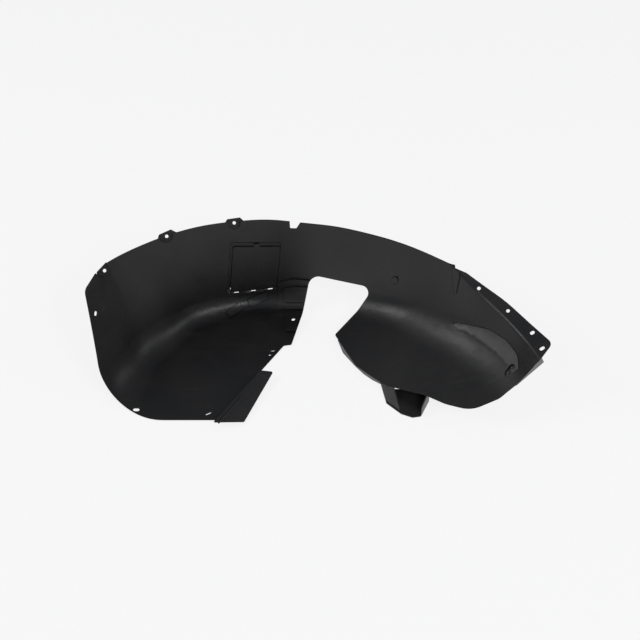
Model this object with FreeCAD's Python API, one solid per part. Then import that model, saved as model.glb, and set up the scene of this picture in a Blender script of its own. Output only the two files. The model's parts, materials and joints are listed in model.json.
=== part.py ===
import FreeCAD, Part
import math
import os

V = FreeCAD.Vector

# Sizes in millimetres, angles in degrees
wall = 2.5
rim_height = 200.0
floor_radius = 300.0
inner_radius = 100.0
lip_turn = 45.0
lip_reach = 4.0
lip_length = 95.0
draw_tilt = 45.0
first_angle = 176.0
last_angle = -4.0
station_count = 25
deep = 900.0

# Sections round the wheel axis, from the front of the arch to the rear:
# angle, wall radius at the rim, flare of the wall, reach of the corner blend,
# tilt of the side wall, lift of the side wall, height where the rear lip turns out
sections = (
    (180, 472, 36, 75, 0, 0, 215),
    (160, 474, 33, 60, 0, 0, 215),
    (145, 484, 28, 52, 0, 0, 215),
    (128, 490, 19, 48, 0, 0, 215),
    (112, 492, 11, 36, 0, 0, 215),
    (98, 487, 8, 27, 0, 0, 215),
    (84, 475, 8, 28, 3, 2, 215),
    (70, 471, 9, 38, 11, 8, 215),
    (57, 471, 11, 50, 17, 13, 212),
    (48, 474, 14, 56, 19, 16, 200),
    (38, 486, 18, 58, 20, 19, 168),
    (25, 502, 22, 60, 20, 22, 156),
    (10, 518, 26, 62, 18, 26, 150),
    (-6, 530, 28, 62, 16, 30, 150),
)

# Outline seen along the draw direction: across, up, corner radius
outline = (
    (-60, 520, 0),
    (-300, 470, 0),
    (-346, 386, 12),
    (-369, 345, 25),
    (-331, 103, 124),
    (-126, 103, 0),
    (-46, 191, 0),
    (-3, 239, 0),
    (12, 241, 3),
    (33, 302, 60),
    (43, 350, 40),
    (49, 380, 20),
    (173, 353, 15),
    (143, 309, 60),
    (97, 261, 4),
    (106, 247, 0),
    (137, 201, 40),
    (194, 165, 0),
    (262, 150, 40),
    (300, 134, 60),
    (345, 124, 60),
    (396, 146, 40),
    (424, 170, 0),
    (487, 248, 10),
    (410, 326, 300),
    (342, 378, 0),
    (321, 387, 0),
    (319, 440, 0),
    (60, 520, 0),
)

# Notch in the rim
notch = ((7, 530, 0), (10, 468, 2), (22, 468, 2), (34, 484, 0), (34, 530, 0))

# Fastening tabs on the front half of the rim: across, up, lean of the tab
tabs = ((-338, 383, 47), (-227, 451, 24), (-99, 479, 8))
tab_hole = 3.3
cup_radius = 13.0
cup_step = 5.0
tab_rise = 9.0
tab_top = 25.0
tab_foot = 40.0
tab_lap = 3.0

# Access cover in the roof of the arch
cover_outline = ((-112, 345, 4), (-20, 355, 4), (-10, 434, 4), (-102, 433, 4))
cover_gap = 1.6
side_strip = 4.0
latch_strip = 7.0
ledge_width = 6.0
seat_gap = 0.4
hook_places = (-34.0, 0.0, 34.0)
hook_width = 6.0
hook_slot = 9.0
hook_drop = 6.0
hook_reach = 11.0
hook_lift = 1.0
seat_start = 9.0
seat_lap = 1.0
latch_width = 12.0
latch_height = 5.5
latch_root = 5.0
latch_corner = 1.5

# Raised and sunk areas: outline and rise towards the wheel
boss_pad = ((-2, 268, 5), (70, 268, 0), (70, 310, 0), (-2, 307, 5))
boss_rise = 5.0
boss_hole = (15.0, 289.0, 3.6)
lower_step = ((-16, 312, 6), (80, 312, 0), (80, 364, 0), (14, 371, 30), (-16, 364, 8))
lower_step_rise = 5.0
upper_step = ((-6, 325, 5), (80, 325, 0), (80, 352, 0), (14, 356, 30), (-6, 352, 6))
upper_step_rise = 5.0
corner_pad = ((-121, 308, 3), (-112, 296, 3), (-85, 314, 3), (-93, 326, 3))
corner_pad_rise = 5.0
corner_run = ((-79, 331, 3), (-73, 317, 3), (-37, 331, 3), (-39, 346, 3))
corner_run_rise = 4.0
dart = ((314, 392, 0), (322, 326, 2), (329, 372, 2), (326, 392, 0))
dart_rise = 3.0
dimple = ((206, 360, 5), (218, 360, 5), (218, 373, 5), (206, 373, 5))
dimple_rise = 3.0

# Crescent pocket at the rear with a flat bottom set by three points: across, up, depth
pocket = (
    (330, 240, 20),
    (396, 176, 20),
    (431, 200, 0),
    (431, 225, 30),
    (414, 252, 40),
    (380, 275, 40),
    (345, 282, 30),
    (322, 286, 0),
)
pocket_points = ((337, 282, -142), (417, 240, -75), (364, 170, -81))
slot = (416.0, 198.0, 26.0, 12.0, 42.0)

# Holes in the rear lip and the front panel: across, up, length, width, lean
rear_holes = ((364, 349), (414, 307))
rear_slots = ((454, 267, 9, 7, 35), (468, 239, 10, 7, 35))
front_slots = ((-351, 302, 9, 6.5, 80), (-277, 122, 12, 8, 0))
rear_hole = 3.4
cut_reach = 8.0
small_slots = ((-24, 230, 22, 3, 5), (-30, 222, 4, 3.9, 0), (-141, 115, 18, 3, 40))

# Flap at the lower end of the front panel, on a plane set by three points: across, up, depth
flap = ((-126, 101, 0), (-73, 100, 3), (-21, 191, 3), (-46, 194, 0))
flap_points = ((-44, 188, -157), (-124, 100, -69), (-62, 101, -97))
fold = ((-126, 101), (-46, 191))
fold_lap = 0.25
rib_start = 0.03
rib_end = 0.56
rib_rise = 4.0
rib_width = 3.0
rib_set_off = 7.5
rib_root = 1.25

# Turned edges of the rear panel: across and up of the edge, and reach of the turned wall
inner_edge = ((103.5, 251, 4), (118, 229, 20), (137, 202, 6), (163, 184, 20), (190, 167, 8))
return_edge = ((425, 171, 6), (466, 222, 44))
flange_draft = 18.0

# Foot bracket under the rear panel, seen from above
bracket = ((193, 222, 0), (193, 187, 0), (220, 160, 0), (241, 151, 6), (257, 154, 5), (274, 192, 0), (274, 222, 0))
bracket_side = 257.0
cheek_top = ((182, 172), (207, 162))

draw = V(0, -math.sin(math.radians(draw_tilt)), math.cos(math.radians(draw_tilt)))
up_slope = V(0, math.cos(math.radians(draw_tilt)), math.sin(math.radians(draw_tilt)))


def at(across, up, depth=0.0):
    """Place of a point given in the draw plane and along the draw direction."""
    return V(across, 0, 0) + up_slope * up + draw * depth


def ring(points):
    """Closed line through corners given as across, up, radius."""
    spots = []
    count = len(points)
    for i in range(count):
        here = V(points[i][0], points[i][1], 0)
        before = V(points[i - 1][0], points[i - 1][1], 0) - here
        after = V(points[(i + 1) % count][0], points[(i + 1) % count][1], 0) - here
        before.normalize()
        after.normalize()
        radius = points[i][2]
        if radius > 0:
            half = before.getAngle(after) / 2
            middle = before + after
            middle.normalize()
            centre = here + middle * (radius / math.sin(half))
            reach = radius / math.tan(half)
            spots.append((here + before * reach, centre - middle * radius, here + after * reach))
        else:
            spots.append((here, None, here))
    edges = []
    for i, (first, middle, last) in enumerate(spots):
        if middle is not None:
            edges.append(Part.Arc(first, middle, last).toShape())
        edges.append(Part.makeLine(last, spots[(i + 1) % count][0]))
    return Part.Wire(edges)


def grow(points, distance):
    """The same convex outline with every side moved outwards."""
    count = len(points)
    moved = []
    for i in range(count):
        a = V(points[i][0], points[i][1], 0)
        b = V(points[(i + 1) % count][0], points[(i + 1) % count][1], 0)
        side = b - a
        side.normalize()
        moved.append((a + V(side.y, -side.x, 0) * distance, side))
    corners = []
    for i in range(count):
        a, along_a = moved[i - 1]
        b, along_b = moved[i]
        cross = along_a.x * along_b.y - along_a.y * along_b.x
        s = ((b.x - a.x) * along_b.y - (b.y - a.y) * along_b.x) / cross
        spot = a + along_a * s
        corners.append((spot.x, spot.y, max(points[i][2] + distance, 0.5)))
    return tuple(corners)


def lean_out(shape):
    """Turns a shape drawn flat into the draw plane."""
    shape.rotate(V(0, 0, 0), V(1, 0, 0), draw_tilt)
    return shape


def prism(points, low=-deep, high=deep):
    """Block with an outline in the draw plane, drawn out along the draw direction."""
    block = Part.Face(ring(points)).extrude(V(0, 0, high - low))
    block.translate(V(0, 0, low))
    return lean_out(block)


def flat_prism(points, low, high):
    """Upright block with an outline seen from above."""
    block = Part.Face(ring(points)).extrude(V(0, 0, high - low))
    block.translate(V(0, 0, low))
    return block


def slot_block(length, width, reach):
    """Block with round ends, lying along x and reaching both ways along z."""
    half = (length - width) / 2
    radius = width / 2
    corners = [V(-half, -radius, -reach), V(half, -radius, -reach), V(half, radius, -reach), V(-half, radius, -reach)]
    right = Part.Arc(corners[1], V(half + radius, 0, -reach), corners[2]).toShape()
    left = Part.Arc(corners[3], V(-half - radius, 0, -reach), corners[0]).toShape()
    sides = [Part.makeLine(corners[0], corners[1]), right, Part.makeLine(corners[2], corners[3]), left]
    return Part.Face(Part.Wire(sides)).extrude(V(0, 0, 2 * reach))


def along(angle):
    """Section values at one angle, blended between the sections listed."""
    for a, b in zip(sections, sections[1:]):
        if b[0] <= angle <= a[0]:
            share = (a[0] - angle) / (a[0] - b[0])
            share = share * share * (3 - 2 * share)
            return [x + (y - x) * share for x, y in zip(a[1:], b[1:])]


def profile(angle, offset):
    """Guide points of one section, a distance behind the inner face: radius in x, height in z."""
    rim, flare, reach, tilt, lift, lip_height = along(angle)
    flare = math.radians(flare)
    tilt = math.radians(tilt)
    turn = math.pi / 2 - flare - tilt
    bend = math.radians(lip_turn)
    side = V(math.cos(tilt), 0, math.sin(tilt))
    rise = V(math.sin(flare), 0, math.cos(flare))
    lip = V(math.sin(flare + bend), 0, math.cos(flare + bend))
    rim = rim + offset / math.cos(flare)
    lift = wall + lift - offset / math.cos(tilt)
    foot = lift + (rim - rim_height * math.tan(flare) - floor_radius) * math.tan(tilt)
    foot = foot / (1 - math.tan(flare) * math.tan(tilt))
    corner = V(rim - (rim_height - foot) * math.tan(flare), 0, foot)
    reach = reach + offset * math.tan(turn / 2)
    top = V(rim - (rim_height - lip_height) * math.tan(flare), 0, lip_height)
    top = top - rise * (offset * math.tan(bend / 2))
    bend_reach = lip_reach - offset * math.tan(bend / 2)
    start = corner - side * ((corner.x - inner_radius) / side.x)
    return (
        start,
        corner - side * reach,
        corner,
        corner + rise * reach,
        top - rise * bend_reach,
        top,
        top + lip * bend_reach,
        top + lip * lip_length,
    )


def skin(offset):
    """Faces of the arch a distance behind the inner face, and the lines round them."""
    angles = [first_angle + (last_angle - first_angle) * i / (station_count - 1) for i in range(station_count)]
    shares = [i / (station_count - 1) for i in range(station_count)]
    rows = []
    for angle in angles:
        c = math.cos(math.radians(angle))
        s = math.sin(math.radians(angle))
        rows.append([V(p.x * c, p.x * s, p.z) for p in profile(angle, offset)])
    curves = []
    for column in zip(*rows):
        curve = Part.BSplineCurve()
        curve.interpolate(Points=list(column), Parameters=shares)
        curves.append(curve)
    faces = []
    border = [curves[0].toShape(), curves[-1].toShape()]
    for span in ((0, 1), (1, 2, 3), (3, 4), (4, 5, 6), (6, 7)):
        degree = len(span) - 1
        ends = [degree + 1, degree + 1]
        poles = [list(row) for row in zip(*[curves[j].getPoles() for j in span])]
        surface = Part.BSplineSurface()
        surface.buildFromPolesMultsKnots(
            poles, curves[0].getMultiplicities(), ends, curves[0].getKnots(), [0, 1], False, False, 3, degree
        )
        faces.append(surface.toShape())
        border.append(surface.uIso(0).toShape())
        border.append(surface.uIso(1).toShape())
    return faces, border


def before(offset):
    """Space on the wheel side of the faces at a distance behind the inner face."""
    faces, border = skin(offset)
    lids = [moved(face, draw * deep * 2) for face in faces]
    sides = [edge.extrude(draw * deep * 2) for edge in border]
    closed = Part.makeCompound(faces + lids + sides)
    closed.sewShape()
    space = Part.Solid(closed.Shells[0])
    if space.Volume < 0:
        space.reverse()
    return space


def moved(shape, shift):
    """A copy of a shape, shifted."""
    copy = shape.copy()
    copy.translate(shift)
    return copy


inner_skin = Part.makeCompound(skin(0)[0])


def spot(across, up):
    """Point of the inner face met by a line along the draw direction, and the direction square to it."""
    line = Part.makeLine(at(across, up, -deep), at(across, up, deep))
    point = inner_skin.distToShape(line)[1][0][0]
    face = min(inner_skin.Faces, key=lambda f: f.distToShape(Part.Vertex(point))[0])
    u, v = face.Surface.parameter(point)
    square = face.Surface.normal(u, v)
    if square.dot(draw) < 0:
        square = -square
    return point, square


def above(points):
    """Space on the wheel side of a plane through three points."""
    a, b, c = [at(*p) for p in points]
    square = (b - a).cross(c - a)
    square.normalize()
    if square.dot(draw) < 0:
        square = -square
    block = Part.makeBox(2 * deep, 2 * deep, deep, V(-deep, -deep, 0))
    block.Placement = FreeCAD.Placement(a, FreeCAD.Rotation(V(0, 0, 1), square))
    return block, square


core = before(0)
cavity = before(wall)


# Raised areas: the core loses the rise, the cavity loses it one wall inside the outline
def raised(points, rise, core, cavity):
    core = core.cut(prism(points).cut(moved(core, draw * rise)))
    cavity = cavity.cut(prism(grow(points, -wall)).cut(moved(cavity, draw * rise)))
    return core, cavity


for area, rise in (
    (boss_pad, boss_rise),
    (lower_step, lower_step_rise),
    (upper_step, upper_step_rise),
    (corner_pad, corner_pad_rise),
    (corner_run, corner_run_rise),
    (dart, dart_rise),
    (dimple, dimple_rise),
):
    core, cavity = raised(area, rise, core, cavity)

# Crescent pocket
bottom, square = above(pocket_points)
core = core.fuse(prism(pocket).common(bottom))
bottom.translate(square * -wall)
cavity = cavity.fuse(prism(grow(pocket, wall)).common(bottom))

# Cups and pads of the fastening tabs
pads = []
for across, up, lean in tabs:
    turn = math.radians(lean)
    out = V(-math.sin(turn), math.cos(turn), 0)
    lowest, square = spot(across - out.x * cup_radius, up - out.y * cup_radius)
    level = lowest.dot(draw) - cup_step

    def tab_point(x, y, radius):
        return (across + x * math.cos(turn) - y * math.sin(turn), up + x * math.sin(turn) + y * math.cos(turn), radius)

    pad_outline = (
        tab_point(-tab_foot / 2, -tab_lap, 1),
        tab_point(tab_foot / 2, -tab_lap, 1),
        tab_point(tab_foot / 2, 0, 2),
        tab_point(tab_top / 2, tab_rise, 2),
        tab_point(-tab_top / 2, tab_rise, 2),
        tab_point(-tab_foot / 2, 0, 2),
    )
    window = (
        tab_point(-cup_radius, 0, 0),
        tab_point(cup_radius, 0, 0),
        tab_point(cup_radius, cup_radius, 0),
        tab_point(-cup_radius, cup_radius, 0),
    )
    inside = Part.makeCylinder(cup_radius, deep, V(across, up, level))
    outside = Part.makeCylinder(cup_radius + wall, deep, V(across, up, level - wall))
    reach = 2 * (cup_radius + wall)
    half = Part.makeBox(2 * reach, reach, 2 * deep, V(-reach, -reach, -deep))
    half.rotate(V(0, 0, 0), V(0, 0, 1), lean)
    half.translate(V(across, up, 0))
    core = core.fuse([lean_out(inside), prism(window, level, deep)])
    cavity = cavity.fuse(lean_out(outside.common(half)))
    hole = lean_out(Part.makeCylinder(tab_hole, 2 * cut_reach, V(across, up, level - cut_reach)))
    pads.append(prism(pad_outline, level - wall, level).cut(hole))
    cavity = cavity.cut(hole)

# Shell between cavity and core, trimmed to the outline and the plane of the rim
trim = prism(outline).cut(prism(notch))
slab = Part.makeBox(2 * deep, 2 * deep, rim_height + deep, V(-deep, -deep, -deep))
shell = cavity.common(trim.common(slab)).cut(core)

# Plain spaces before the inner and the outer face, without the raised areas
front = before(0)
back = before(wall)

# Access cover: opening with a latch strip above the cover, and a seat round it
low_left, low_right, high_right, high_left = cover_outline
opening_outline = (
    (low_left[0] - side_strip, low_left[1], low_left[2]),
    low_right,
    (high_right[0], high_right[1] + latch_strip, high_right[2]),
    (high_left[0] - side_strip, high_left[1] + latch_strip, high_left[2]),
)
opening = prism(grow(opening_outline, cover_gap))
hinge_start = spot(*low_left[:2])[0]
hinge_end = spot(*low_right[:2])[0]
hinge = hinge_end - hinge_start
hinge.normalize()
hinge_middle = (hinge_start + hinge_end) * 0.5
latch_middle = (high_right[0] + high_left[0]) / 2
latch_level = (high_right[1] + high_left[1]) / 2
cover_top = spot(latch_middle, latch_level)[0]
facing = hinge.cross(cover_top - hinge_middle)
facing.normalize()
hinge_frame = FreeCAD.Placement(hinge_middle, FreeCAD.Rotation(hinge, V(), facing, "ZXY"))


def hinge_box(x0, x1, y0, y1, z0, z1):
    """Block along the hinge line, up the cover and towards the wheel."""
    block = Part.makeBox(x1 - x0, y1 - y0, z1 - z0, V(x0, y0, z0))
    block.Placement = hinge_frame
    return block


frame_block = prism(grow(opening_outline, cover_gap + wall)).common(before(2 * wall + seat_gap))
frame_wall = frame_block.cut(opening).cut(before(seat_lap))
ledge = frame_block.cut(prism(grow(cover_outline, -ledge_width))).cut(before(wall + seat_gap))
ledge = ledge.cut(hinge_box(-deep, deep, -deep, seat_start, -deep, deep))
cover = prism(cover_outline).common(back).cut(front)
latch_outline = (
    (latch_middle - latch_width / 2, latch_level - latch_root, 0),
    (latch_middle + latch_width / 2, latch_level - latch_root, 0),
    (latch_middle + latch_width / 2, latch_level + latch_height, latch_corner),
    (latch_middle - latch_width / 2, latch_level + latch_height, latch_corner),
)
cover = cover.fuse(prism(latch_outline).common(back).cut(front))
hook_slots = []
for place in hook_places:
    left = place - hook_width / 2
    right = place + hook_width / 2
    stem = hinge_box(left, right, hook_lift, hook_lift + wall, -hook_reach, -wall)
    barb = hinge_box(left, right, -hook_drop, hook_lift + wall, -hook_reach, wall - hook_reach)
    cover = cover.fuse(stem.fuse(barb).cut(front))
    slot_left = place - hook_slot / 2
    slot_right = place + hook_slot / 2
    hook_slots.append(hinge_box(slot_left, slot_right, -hook_drop, seat_start, -hook_reach, hook_reach))
shell = shell.cut(opening).fuse([frame_wall, ledge])
shell = shell.cut(hook_slots)

# Flap on the fold at the lower end of the front panel, with its riser and rib
over_flap, flap_square = above(flap_points)
fold_start = V(fold[0][0], fold[0][1], 0)
fold_run = V(fold[1][0], fold[1][1], 0) - fold_start
fold_side = V(-fold_run.y, fold_run.x, 0).normalize()


def fold_strip(start, end, near, far):
    """Outline of a strip along the fold between two distances to its front side."""
    corners = (
        fold_start + fold_run * start + fold_side * near,
        fold_start + fold_run * end + fold_side * near,
        fold_start + fold_run * end + fold_side * far,
        fold_start + fold_run * start + fold_side * far,
    )
    return tuple((c.x, c.y, 0) for c in corners)


strip = fold_strip(0.0, 1.0, -fold_lap, wall)
plate_space = moved(over_flap, flap_square * -wall)
plate = prism(flap).common(plate_space).cut(over_flap)
riser = prism(strip).common(back).cut(over_flap)
rib = prism(fold_strip(rib_start, rib_end, -rib_set_off, rib_width - rib_set_off))
rib = rib.common(moved(over_flap, flap_square * -rib_root))
rib = rib.cut(moved(over_flap, flap_square * rib_rise))
shell = shell.fuse([plate, riser, rib])

# Turned edges of the rear panel, down to the level that the part rests on
def edge_flange(places):
    """Wall turned back from an edge of the panel, leaning outwards by its draft."""
    points = [V(across, up, 0) for across, up, reach in places]
    last = len(points) - 1
    quads = []
    for i, (across, up, reach) in enumerate(places):
        run = (points[min(i + 1, last)] - points[max(i - 1, 0)]).normalize()
        out = at(run.y, -run.x)
        top = spot(across, up)[0]
        far = top + (out * math.tan(math.radians(flange_draft)) - draw) * reach
        quads.append(Part.makePolygon([top, far, far - out * wall, top - out * wall, top]))
    return Part.makeLoft(quads, True, True)


below = Part.makeBox(2 * deep, 2 * deep, deep, V(-deep, -deep, -deep))
turned = [edge_flange(edge).cut(front).cut(below) for edge in (inner_edge, return_edge)]

# Foot bracket under the rear panel: floor, side wall up to the panel and a leaning cheek
bracket_walls = flat_prism(bracket, 0, rim_height / 2).cut(flat_prism(grow(bracket, -wall), -wall, rim_height))
bracket_walls = bracket_walls.cut(Part.makeBox(bracket_side, deep, deep))
turned.append(flat_prism(bracket, 0, wall))
turned.append(bracket_walls.cut(front))
cheek_feet = [V(corner[0], corner[1], 0) for corner in bracket[1:3]]
cheek_run = (cheek_feet[1] - cheek_feet[0]).normalize()
inward = V(-cheek_run.y, cheek_run.x, 0) * wall
cheek = []
for place, foot in zip(cheek_top, cheek_feet):
    top = spot(*place)[0]
    cheek.append(Part.makePolygon([top, foot, foot + inward, top + inward, top]))
turned.append(Part.makeLoft(cheek, True, True).cut(front))
shell = shell.fuse(turned + pads)


# Holes and slots square to the face
def slot_at(across, up, length, width, lean):
    point, square = spot(across, up)
    lengthwise = V(math.cos(math.radians(lean)), 0, 0) + up_slope * math.sin(math.radians(lean))
    block = slot_block(length, width, cut_reach)
    block.Placement = FreeCAD.Placement(point, FreeCAD.Rotation(lengthwise, V(), square, "ZXY"))
    return block


def hole_at(across, up, radius):
    point, square = spot(across, up)
    return Part.makeCylinder(radius, 2 * cut_reach, point - square * cut_reach, square)


cuts = [slot_at(*place) for place in rear_slots + front_slots + small_slots + (slot,)]
cuts += [hole_at(across, up, rear_hole) for across, up in rear_holes]
cuts.append(hole_at(*boss_hole))
shell = shell.cut(cuts)

# Origin under the middle of the part, at the level it rests on
box = Part.makeCompound([shell, cover]).optimalBoundingBox()
shift = V(-(box.XMin + box.XMax) / 2, -(box.YMin + box.YMax) / 2, -box.ZMin)
shell.translate(shift)
cover.translate(shift)

os.makedirs("parts", exist_ok=True)
shell.exportStep("parts/liner_shell.step")
cover.exportStep("parts/access_cover.step")
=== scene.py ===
"""Looks of a moulded wheel arch splash shield, laid out as an add-on and run as a script."""

import json
import math

import bmesh
import bpy
from bpy.props import FloatProperty, FloatVectorProperty, PointerProperty
from mathutils import Matrix, Vector
from mathutils.bvhtree import BVHTree


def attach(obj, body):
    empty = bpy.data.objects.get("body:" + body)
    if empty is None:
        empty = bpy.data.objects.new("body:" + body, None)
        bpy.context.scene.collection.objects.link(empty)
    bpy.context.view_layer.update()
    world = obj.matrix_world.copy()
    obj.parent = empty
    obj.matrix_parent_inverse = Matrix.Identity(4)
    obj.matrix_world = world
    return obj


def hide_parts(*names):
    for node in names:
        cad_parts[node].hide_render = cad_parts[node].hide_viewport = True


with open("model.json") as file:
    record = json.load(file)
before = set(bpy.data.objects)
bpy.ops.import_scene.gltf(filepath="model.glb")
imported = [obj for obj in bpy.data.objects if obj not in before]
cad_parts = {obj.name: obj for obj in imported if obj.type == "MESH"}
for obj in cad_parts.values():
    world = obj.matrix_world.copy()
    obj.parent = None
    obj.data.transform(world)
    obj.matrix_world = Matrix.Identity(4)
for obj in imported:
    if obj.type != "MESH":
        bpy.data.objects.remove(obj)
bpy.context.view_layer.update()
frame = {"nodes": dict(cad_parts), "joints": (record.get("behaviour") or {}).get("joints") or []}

bl_info = {
    "name": "Splash shield",
    "version": (1, 0, 0),
    "blender": (4, 5, 0),
    "location": "3D View > Sidebar > Splash shield",
    "description": "Dresses the moulded arch and its access hatch, and sets the studio round them",
    "category": "Object",
}

MILLIMETRE = 0.001

# Joining of a solid's loose triangles, in metres, and the angles of edges that are rounded or kept sharp
MERGE_DISTANCE = 0.00002
SHORTEST_EDGE = 0.00025
FLAT_ANGLE = math.radians(0.3)
CREASE_ANGLE = math.radians(27)
SMOOTH_ANGLE = math.radians(50)
ROUND_SEGMENTS = 2

# Patterns of the plastic: amount of pale haze on each piece, which is partly the plastic's own haze and
# partly painted reflection, fineness of haze and scuffs, and the band of each noise that shows
ARCH_HAZING_AND_REFLECTION = 0.5
HATCH_HAZING_AND_REFLECTION = 0.4
HAZING_AND_REFLECTION_DETAIL = 5.0
HAZING_AND_REFLECTION_FINENESS = 0.55
HAZING_AND_REFLECTION_BAND = (0.35, 0.75)
SCUFF_TURN = (0.0, 0.0, math.radians(25))
SCUFF_STRETCH = (0.12, 1.0, 1.0)
SCUFF_DETAIL = 3.0
SCUFF_BAND = (0.58, 0.72)
SCUFF_ROUGHNESS = 0.2
GRAIN_STRENGTH = 0.35
SPECULAR_LEVEL = 0.5
GRAIN_INPUTS = (
    "Grain scale", "Hazing and reflection scale", "Hazing and reflection amount", "Scuff scale", "Scuff amount",
    "Roughness", "Roughness spread",
)
GRAIN_OUTPUTS = ("Hazing and reflection", "Roughness", "Height")

# The arch is moulded along one draw direction: across is X, up lies in the plane square to the draw
DRAW = Vector((0.0, -1.0, 1.0)).normalized()
UP = Vector((0.0, 1.0, 1.0)).normalized()

# Seat behind the hinge line, in millimetres: start and end along the hinge, reach up beside the hatch.
# Its foot is the reach down, and its depth is from and to behind the hinge line
SEAT_RUNS = (
    (-54.5, -46.0, 10.0),
    (-47.4, -38.6, 4.5),
    (-29.4, -4.6, 0.8),
    (4.6, 29.4, 0.8),
    (38.6, 47.4, 4.5),
    (46.0, 50.8, 10.0),
)
SEAT_FOOT = 4.0
SEAT_DEPTH = (7.2, 8.8)
SEAT_ROUND = 0.2

# Slot of the rear pocket, in metres, and the clip behind it, in millimetres:
# from and to along the slot, across it and away from the wheel
SLOT_ACROSS = 0.3582
SLOT_UP = -0.01895
SLOT_LEAN = math.radians(42)
SLOT_PROBE = 0.016
CLIP_BLOCKS = (
    ((-17.0, 17.0), (-9.5, 9.5), (2.4, 4.4)),
    ((-9.0, -1.0), (-3.6, 3.6), (0.4, 3.0)),
    ((4.0, 9.0), (-0.5, 4.4), (1.2, 3.0)),
)
CLIP_ROUND = 0.35

# Floor and world: the glow is the share of plain white that the camera and reflections see in the floor
FLOOR_COLOR = (0.85, 0.85, 0.85, 1.0)
FLOOR_GLOW = 0.84
WORLD_COLOR = (0.93, 0.96, 1.0, 1.0)
WORLD_FILL = 0.30
WORLD_WHITE = 1.0

# Camera, and the places and sizes of the lamps in metres
IMAGE_WIDTH = 640
SENSOR_WIDTH = 36.0
KEY_PLACE = Vector((1.1, -1.9, 2.15))
KEY_SIZE = (0.9, 0.9)
LEFT_PLACE = Vector((-2.3, -0.5, 2.0))
RIGHT_PLACE = Vector((2.3, 0.1, 1.7))
RIGHT_SHARE = 0.3
SIDE_SIZE = (1.2, 1.0)


class MouldedFinish(bpy.types.PropertyGroup):
    """Finish of the black moulded plastic."""

    arch_color: FloatVectorProperty(
        name="Arch colour", description="Colour of the arch's plastic",
        subtype="COLOR", size=4, min=0.0, max=1.0, default=(0.0050, 0.0051, 0.0062, 1.0),
    )
    hatch_color: FloatVectorProperty(
        name="Hatch colour", description="Colour of the access hatch's plastic",
        subtype="COLOR", size=4, min=0.0, max=1.0, default=(0.0042, 0.0043, 0.0052, 1.0),
    )
    # This pale colour lightens patches of the plastic: partly haze from moulding and handling, partly
    # painted reflection standing in for mottled sheen
    hazing_and_reflection_color: FloatVectorProperty(
        name="Hazing and reflection colour", description="Colour of the pale haze that moulding and handling leave",
        subtype="COLOR", size=4, min=0.0, max=1.0, default=(0.0165, 0.0155, 0.0148, 1.0),
    )
    roughness: FloatProperty(
        name="Roughness", description="Roughness of the satin surface where it has no haze",
        min=0.0, max=1.0, default=0.34,
    )
    roughness_spread: FloatProperty(
        name="Roughness spread", description="How much duller the hazy patches are",
        min=0.0, max=1.0, default=0.14,
    )
    hazing_and_reflection_size: FloatProperty(
        name="Hazing and reflection size", description="Width of one patch of haze",
        unit="LENGTH", min=0.001, max=1.0, default=0.11,
    )
    scuff_size: FloatProperty(
        name="Scuff size", description="Width of one scuff mark before it is drawn out",
        unit="LENGTH", min=0.001, max=1.0, default=0.012,
    )
    scuff_amount: FloatProperty(
        name="Scuff amount", description="Strength of the scuff marks",
        min=0.0, max=1.0, default=0.35,
    )
    grain_size: FloatProperty(
        name="Grain size", description="Width of one grain of the mould's texture",
        unit="LENGTH", min=0.0001, max=0.01, default=0.0011,
    )
    edge_round: FloatProperty(
        name="Edge rounding", description="Width of the rounding along the moulded edges",
        unit="LENGTH", min=0.0, max=0.002, default=0.0005,
    )
    grain_depth: FloatProperty(
        name="Grain depth", description="Depth of the mould's texture",
        unit="LENGTH", min=0.0, max=0.001, default=0.00006,
    )


class StudioSettings(bpy.types.PropertyGroup):
    """Camera, floor and lamps."""

    target: FloatVectorProperty(
        name="Target", description="Point the camera looks at",
        subtype="TRANSLATION", size=3, default=(0.0102, 0.0031, 0.1001),
    )
    distance: FloatProperty(
        name="Camera distance", description="From the camera to its target",
        unit="LENGTH", min=0.5, max=10.0, default=2.6,
    )
    elevation: FloatProperty(
        name="Camera elevation", description="Angle of the camera above the floor",
        subtype="ANGLE", min=0.0, max=math.pi / 2, default=math.radians(45),
    )
    pixel_size: FloatProperty(
        name="Pixel size", description="Width at the target that one pixel of the image shows",
        unit="LENGTH", min=0.0001, max=0.01, default=0.0019,
    )
    floor_size: FloatProperty(
        name="Floor size", description="Length of the floor's side",
        unit="LENGTH", min=2.0, max=60.0, default=24.0,
    )
    key_power: FloatProperty(
        name="Key lamp", description="Power of the lamp beside the camera",
        unit="POWER", min=0.0, max=2000.0, default=22.0,
    )
    side_power: FloatProperty(
        name="Side lamps", description="Power of the lamp at the left; the one at the right is weaker",
        unit="POWER", min=0.0, max=2000.0, default=22.0,
    )


def link(tree, source, output, target, socket):
    """Joins an output of one node to an input of another."""
    tree.links.new(source.outputs[output], target.inputs[socket])


def math_node(tree, operation):
    """Math node set to one operation."""
    node = tree.nodes.new("ShaderNodeMath")
    node.operation = operation
    return node


def band_node(tree, band):
    """Map Range node that spreads a band of values over 0 to 1."""
    node = tree.nodes.new("ShaderNodeMapRange")
    low, high = band
    node.inputs["From Min"].default_value = low
    node.inputs["From Max"].default_value = high
    return node


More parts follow.
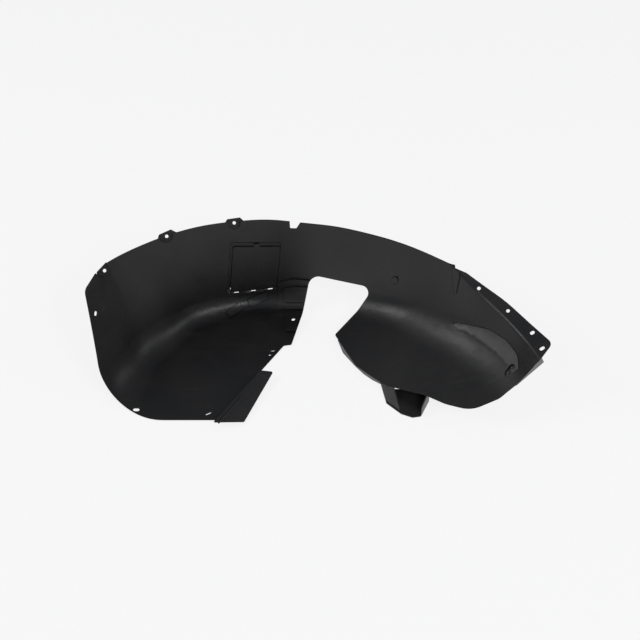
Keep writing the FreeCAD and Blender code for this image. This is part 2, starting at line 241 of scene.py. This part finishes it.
def moulded_grain_group():
    """Shader group: mould grain, patches of haze that are partly painted reflection, and scuff marks, all in
    object space.
    """
    existing = bpy.data.node_groups.get("moulded_grain")
    if existing:
        return existing
    group = bpy.data.node_groups.new("moulded_grain", "ShaderNodeTree")
    for name in GRAIN_INPUTS:
        group.interface.new_socket(name, in_out="INPUT", socket_type="NodeSocketFloat")
    for name in GRAIN_OUTPUTS:
        group.interface.new_socket(name, in_out="OUTPUT", socket_type="NodeSocketFloat")
    nodes = group.nodes
    inputs = nodes.new("NodeGroupInput")
    outputs = nodes.new("NodeGroupOutput")
    place = nodes.new("ShaderNodeTexCoord")

    grain = nodes.new("ShaderNodeTexVoronoi")
    grain.feature = "SMOOTH_F1"
    link(group, place, "Object", grain, "Vector")
    link(group, inputs, "Grain scale", grain, "Scale")
    link(group, grain, "Distance", outputs, "Height")

    # Broad patches that lighten the colour: partly haze of the plastic, partly painted reflection
    patches = nodes.new("ShaderNodeTexNoise")
    patches.inputs["Detail"].default_value = HAZING_AND_REFLECTION_DETAIL
    patches.inputs["Roughness"].default_value = HAZING_AND_REFLECTION_FINENESS
    link(group, place, "Object", patches, "Vector")
    link(group, inputs, "Hazing and reflection scale", patches, "Scale")
    spread = band_node(group, HAZING_AND_REFLECTION_BAND)
    link(group, patches, "Fac", spread, "Value")

    stretch = nodes.new("ShaderNodeMapping")
    stretch.inputs["Rotation"].default_value = SCUFF_TURN
    stretch.inputs["Scale"].default_value = SCUFF_STRETCH
    link(group, place, "Object", stretch, "Vector")
    scratches = nodes.new("ShaderNodeTexNoise")
    scratches.inputs["Detail"].default_value = SCUFF_DETAIL
    link(group, stretch, "Vector", scratches, "Vector")
    link(group, inputs, "Scuff scale", scratches, "Scale")
    fine = band_node(group, SCUFF_BAND)
    link(group, scratches, "Fac", fine, "Value")
    scuff = math_node(group, "MULTIPLY")
    link(group, fine, "Result", scuff, 0)
    link(group, inputs, "Scuff amount", scuff, 1)

    # Patches and scuffs together set the pale mix: the scuffs are wear, the patches are partly painted
    # reflection
    hazing_and_reflection = math_node(group, "MULTIPLY_ADD")
    hazing_and_reflection.use_clamp = True
    link(group, spread, "Result", hazing_and_reflection, 0)
    link(group, inputs, "Hazing and reflection amount", hazing_and_reflection, 1)
    link(group, scuff, "Value", hazing_and_reflection, 2)
    link(group, hazing_and_reflection, "Value", outputs, "Hazing and reflection")

    dull = math_node(group, "MULTIPLY_ADD")
    link(group, spread, "Result", dull, 0)
    link(group, inputs, "Roughness spread", dull, 1)
    link(group, inputs, "Roughness", dull, 2)
    worn = math_node(group, "MULTIPLY_ADD")
    worn.inputs[1].default_value = SCUFF_ROUGHNESS
    link(group, scuff, "Value", worn, 0)
    link(group, dull, "Value", worn, 2)
    link(group, worn, "Value", outputs, "Roughness")
    return group


def moulded_plastic(name, color, finish, hazing_and_reflection_amount):
    """Satin black moulded plastic."""
    material = bpy.data.materials.new(name)
    material.use_nodes = True
    tree = material.node_tree
    shader = tree.nodes["Principled BSDF"]
    shader.inputs["Specular IOR Level"].default_value = SPECULAR_LEVEL
    grain = tree.nodes.new("ShaderNodeGroup")
    grain.node_tree = moulded_grain_group()
    grain.inputs["Grain scale"].default_value = 1.0 / finish.grain_size
    grain.inputs["Hazing and reflection scale"].default_value = 1.0 / finish.hazing_and_reflection_size
    grain.inputs["Hazing and reflection amount"].default_value = hazing_and_reflection_amount
    grain.inputs["Scuff scale"].default_value = 1.0 / finish.scuff_size
    grain.inputs["Scuff amount"].default_value = finish.scuff_amount
    grain.inputs["Roughness"].default_value = finish.roughness
    grain.inputs["Roughness spread"].default_value = finish.roughness_spread
    # Lightens the base colour towards the pale colour in the patches and scuffs: the scuffs are wear, the
    # patches are partly haze and partly painted reflection
    blend = tree.nodes.new("ShaderNodeMix")
    blend.data_type = "RGBA"
    # The colour sockets of this node come after its number and vector sockets
    color_a, color_b = [socket for socket in blend.inputs if socket.type == "RGBA"]
    color_a.default_value = color
    color_b.default_value = finish.hazing_and_reflection_color
    mixed = next(socket for socket in blend.outputs if socket.type == "RGBA")
    tree.links.new(grain.outputs["Hazing and reflection"], blend.inputs[0])
    tree.links.new(mixed, shader.inputs["Base Color"])
    link(tree, grain, "Roughness", shader, "Roughness")
    bump = tree.nodes.new("ShaderNodeBump")
    bump.inputs["Strength"].default_value = GRAIN_STRENGTH
    bump.inputs["Distance"].default_value = finish.grain_depth
    link(tree, grain, "Height", bump, "Height")
    link(tree, bump, "Normal", shader, "Normal")
    return material


def rounded(shape, width):
    """Rounds a bmesh's sharp edges, and puts back on the surface what the rounding threw off it."""
    surface = BVHTree.FromBMesh(shape)
    sharp = [
        edge for edge in shape.edges
        if len(edge.link_faces) == 2 and edge.calc_face_angle() > CREASE_ANGLE
    ]
    bmesh.ops.bevel(
        shape, geom=sharp, offset=width, offset_type="OFFSET",
        segments=ROUND_SEGMENTS, profile=0.5, affect="EDGES", clamp_overlap=False, material=-1,
    )
    for vertex in shape.verts:
        nearest, _, _, distance = surface.find_nearest(vertex.co)
        if distance > width:
            vertex.co = nearest


def merged_copy(node, name, material, body):
    """A copy of a solid's mesh with its faces joined and its round faces smooth, standing for that solid."""
    mesh = bpy.data.meshes.new(name)
    shape = bmesh.new()
    shape.from_mesh(frame["nodes"][node].data)
    bmesh.ops.remove_doubles(shape, verts=shape.verts, dist=MERGE_DISTANCE)
    bmesh.ops.dissolve_degenerate(shape, dist=SHORTEST_EDGE, edges=shape.edges)
    bmesh.ops.dissolve_limit(shape, angle_limit=FLAT_ANGLE, verts=shape.verts, edges=shape.edges)
    rounded(shape, bpy.context.scene.splash_finish.edge_round)
    bmesh.ops.triangulate(shape, faces=shape.faces)
    shape.to_mesh(mesh)
    shape.free()
    if mesh.has_custom_normals:
        mesh.attributes.remove(mesh.attributes["custom_normal"])
    mesh.materials.clear()
    mesh.materials.append(material)
    mesh.polygons.foreach_set("material_index", [0] * len(mesh.polygons))
    mesh.shade_smooth()
    mesh.set_sharp_from_angle(angle=SMOOTH_ANGLE)
    piece = bpy.data.objects.new(name, mesh)
    bpy.context.scene.collection.objects.link(piece)
    even = piece.modifiers.new("even_normals", "WEIGHTED_NORMAL")
    even.mode = "FACE_AREA"
    even.keep_sharp = True
    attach(piece, body)
    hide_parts(node)


def metres(span):
    """A span in metres, from one in millimetres."""
    return tuple(value * MILLIMETRE for value in span)


def block(shape, place, directions, spans):
    """Adds a box to a bmesh: from and to along each of three directions, in metres from a place."""
    middle = place.copy()
    sides = []
    for direction, (start, end) in zip(directions, spans):
        middle += direction * ((start + end) / 2)
        sides.append(direction * (end - start))
    turn = Matrix(sides).transposed().to_4x4()
    bmesh.ops.create_cube(shape, size=1.0, matrix=Matrix.Translation(middle) @ turn)


def finished_piece(shape, name, material, body, rounding):
    """Turns a bmesh into a piece with rounded edges that rides on a body."""
    bmesh.ops.recalc_face_normals(shape, faces=shape.faces)
    bmesh.ops.bevel(
        shape, geom=shape.edges, offset=rounding, offset_type="OFFSET",
        segments=ROUND_SEGMENTS, profile=0.5, affect="EDGES", material=-1,
    )
    mesh = bpy.data.meshes.new(name)
    shape.to_mesh(mesh)
    shape.free()
    mesh.materials.append(material)
    mesh.shade_smooth()
    mesh.set_sharp_from_angle(angle=SMOOTH_ANGLE)
    piece = bpy.data.objects.new(name, mesh)
    bpy.context.scene.collection.objects.link(piece)
    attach(piece, body)


def mesh_lists(mesh):
    """Corner places and faces of a mesh, for ray tests."""
    return [vertex.co for vertex in mesh.vertices], [tuple(face.vertices) for face in mesh.polygons]


def aim(item, place, target):
    """Puts a lamp or camera at a place, looking at a target."""
    item.location = place
    item.rotation_euler = (target - place).to_track_quat("-Z", "Y").to_euler()


def area_lamp(name, place, target, size, power):
    """Rectangular soft lamp."""
    data = bpy.data.lights.new(name, "AREA")
    data.shape = "RECTANGLE"
    data.size, data.size_y = size
    data.energy = power
    lamp = bpy.data.objects.new(name, data)
    bpy.context.scene.collection.objects.link(lamp)
    aim(lamp, place, target)


def floor_material():
    """Pale floor that the camera and reflections see near white, with the object's shadow kept."""
    material = bpy.data.materials.new("studio_floor")
    material.use_nodes = True
    tree = material.node_tree
    tree.nodes.clear()
    output = tree.nodes.new("ShaderNodeOutputMaterial")
    pale = tree.nodes.new("ShaderNodeBsdfDiffuse")
    pale.inputs["Color"].default_value = FLOOR_COLOR
    glow = tree.nodes.new("ShaderNodeEmission")
    seen = tree.nodes.new("ShaderNodeLightPath")
    direct = math_node(tree, "MAXIMUM")
    link(tree, seen, "Is Camera Ray", direct, 0)
    link(tree, seen, "Is Glossy Ray", direct, 1)
    share = math_node(tree, "MULTIPLY")
    share.inputs[1].default_value = FLOOR_GLOW
    link(tree, direct, "Value", share, 0)
    mix = tree.nodes.new("ShaderNodeMixShader")
    link(tree, share, "Value", mix, "Fac")
    link(tree, pale, "BSDF", mix, 1)
    link(tree, glow, "Emission", mix, 2)
    link(tree, mix, "Shader", output, "Surface")
    return material


def studio_world():
    """White to the camera, and a plain soft fill for the rest."""
    world = bpy.data.worlds.new("studio_world")
    world.use_nodes = True
    tree = world.node_tree
    background = tree.nodes["Background"]
    background.inputs["Color"].default_value = WORLD_COLOR
    seen = tree.nodes.new("ShaderNodeLightPath")
    strength = tree.nodes.new("ShaderNodeMapRange")
    strength.inputs["To Min"].default_value = WORLD_FILL
    strength.inputs["To Max"].default_value = WORLD_WHITE
    link(tree, seen, "Is Camera Ray", strength, "Value")
    link(tree, strength, "Result", background, "Strength")
    return world


class SPLASH_OT_moulded_arch(bpy.types.Operator):
    """Dress the moulded arch"""

    bl_idname = "splash_shield.moulded_arch"
    bl_label = "Moulded arch"

    def execute(self, context):
        finish = context.scene.splash_finish
        material = moulded_plastic("arch_plastic", finish.arch_color, finish, ARCH_HAZING_AND_REFLECTION)
        merged_copy("liner_shell", "moulded_arch", material, "liner")
        return {"FINISHED"}


class SPLASH_OT_access_hatch(bpy.types.Operator):
    """Dress the access hatch"""

    bl_idname = "splash_shield.access_hatch"
    bl_label = "Access hatch"

    def execute(self, context):
        finish = context.scene.splash_finish
        material = moulded_plastic("hatch_plastic", finish.hatch_color, finish, HATCH_HAZING_AND_REFLECTION)
        merged_copy("access_cover", "access_hatch", material, "cover")
        return {"FINISHED"}


class SPLASH_OT_hatch_seat(bpy.types.Operator):
    """Model the narrow seat behind the hatch's hinge line, open at the three hooks"""

    bl_idname = "splash_shield.hatch_seat"
    bl_label = "Hatch seat"

    def execute(self, context):
        joint = next(item for item in frame["joints"] if item["name"] == "cover_hinge")
        place = Vector(joint["pos_m"])
        along = Vector(joint["axis"]).normalized()
        down = along.cross(DRAW).normalized()
        shape = bmesh.new()
        for start, end, top in SEAT_RUNS:
            spans = (metres((start, end)), metres((-top, SEAT_FOOT)), metres(SEAT_DEPTH))
            block(shape, place, (along, down, -DRAW), spans)
        material = bpy.data.materials["arch_plastic"]
        finished_piece(shape, "hatch_seat", material, "liner", SEAT_ROUND * MILLIMETRE)
        return {"FINISHED"}


class SPLASH_OT_slot_clip(bpy.types.Operator):
    """Model the clip behind the slot of the rear pocket"""

    bl_idname = "splash_shield.slot_clip"
    bl_label = "Slot clip"

    def execute(self, context):
        arch = BVHTree.FromPolygons(*mesh_lists(frame["nodes"]["liner_shell"].data))
        lengthwise = Vector((math.cos(SLOT_LEAN), 0.0, 0.0)) + UP * math.sin(SLOT_LEAN)
        sideways = DRAW.cross(lengthwise)
        middle = Vector((SLOT_ACROSS, 0.0, 0.0)) + UP * SLOT_UP
        # Three spots on the wall round the slot give the plane that the clip lies along
        probes = ((SLOT_PROBE, 0.0), (-SLOT_PROBE, SLOT_PROBE), (-SLOT_PROBE, -SLOT_PROBE))
        spots = []
        for forward, aside in probes:
            start = middle + lengthwise * forward + sideways * aside + DRAW
            spots.append(arch.ray_cast(start, -DRAW)[0])
        square = (spots[1] - spots[0]).cross(spots[2] - spots[0]).normalized()
        if square.dot(DRAW) < 0:
            square.negate()
        place = middle + DRAW * ((spots[0] - middle).dot(square) / DRAW.dot(square))
        lengthwise = (lengthwise - square * lengthwise.dot(square)).normalized()
        sideways = square.cross(lengthwise)
        shape = bmesh.new()
        for spans in CLIP_BLOCKS:
            block(shape, place, (lengthwise, sideways, -square), [metres(span) for span in spans])
        material = bpy.data.materials["hatch_plastic"]
        finished_piece(shape, "slot_clip", material, "liner", CLIP_ROUND * MILLIMETRE)
        return {"FINISHED"}


class SPLASH_OT_studio(bpy.types.Operator):
    """Set the floor, lamps and camera"""

    bl_idname = "splash_shield.studio"
    bl_label = "Studio"

    def execute(self, context):
        studio = context.scene.splash_studio
        scene = context.scene
        scene.view_settings.view_transform = "Standard"
        scene.world = studio_world()

        shape = bmesh.new()
        bmesh.ops.create_grid(shape, x_segments=1, y_segments=1, size=studio.floor_size / 2)
        mesh = bpy.data.meshes.new("studio_floor")
        shape.to_mesh(mesh)
        shape.free()
        mesh.materials.append(floor_material())
        floor = bpy.data.objects.new("studio_floor", mesh)
        scene.collection.objects.link(floor)

        target = Vector(studio.target)
        back = Vector((0.0, -math.cos(studio.elevation), math.sin(studio.elevation)))
        data = bpy.data.cameras.new("photo_camera")
        data.sensor_width = SENSOR_WIDTH
        data.lens = SENSOR_WIDTH * studio.distance / (studio.pixel_size * IMAGE_WIDTH)
        camera = bpy.data.objects.new("photo_camera", data)
        scene.collection.objects.link(camera)
        aim(camera, target + back * studio.distance, target)
        scene.camera = camera

        area_lamp("key_lamp", KEY_PLACE, target, KEY_SIZE, studio.key_power)
        area_lamp("left_lamp", LEFT_PLACE, target, SIDE_SIZE, studio.side_power)
        area_lamp("right_lamp", RIGHT_PLACE, target, SIDE_SIZE, studio.side_power * RIGHT_SHARE)
        return {"FINISHED"}


class SPLASH_PT_sidebar(bpy.types.Panel):
    """Lists the pieces and their settings"""

    bl_idname = "SPLASH_PT_sidebar"
    bl_label = "Splash shield"
    bl_space_type = "VIEW_3D"
    bl_region_type = "UI"
    bl_category = "Splash shield"

    def draw(self, context):
        layout = self.layout
        for group in (context.scene.splash_finish, context.scene.splash_studio):
            box = layout.box()
            for name in group.__annotations__:
                box.prop(group, name)
        for operator in OPERATORS:
            layout.operator(operator.bl_idname)


OPERATORS = (
    SPLASH_OT_moulded_arch,
    SPLASH_OT_access_hatch,
    SPLASH_OT_hatch_seat,
    SPLASH_OT_slot_clip,
    SPLASH_OT_studio,
)
CLASSES = (MouldedFinish, StudioSettings, *OPERATORS, SPLASH_PT_sidebar)


def register():
    """Registers the classes and their settings."""
    for item in CLASSES:
        bpy.utils.register_class(item)
    bpy.types.Scene.splash_finish = PointerProperty(type=MouldedFinish)
    bpy.types.Scene.splash_studio = PointerProperty(type=StudioSettings)


def unregister():
    """Takes the settings and classes away again."""
    del bpy.types.Scene.splash_studio
    del bpy.types.Scene.splash_finish
    for item in reversed(CLASSES):
        bpy.utils.unregister_class(item)


def main():
    """Makes every piece and the studio."""
    register()
    bpy.ops.splash_shield.moulded_arch()
    bpy.ops.splash_shield.access_hatch()
    bpy.ops.splash_shield.hatch_seat()
    bpy.ops.splash_shield.slot_clip()
    bpy.ops.splash_shield.studio()


if __name__ == "__main__":
    main()
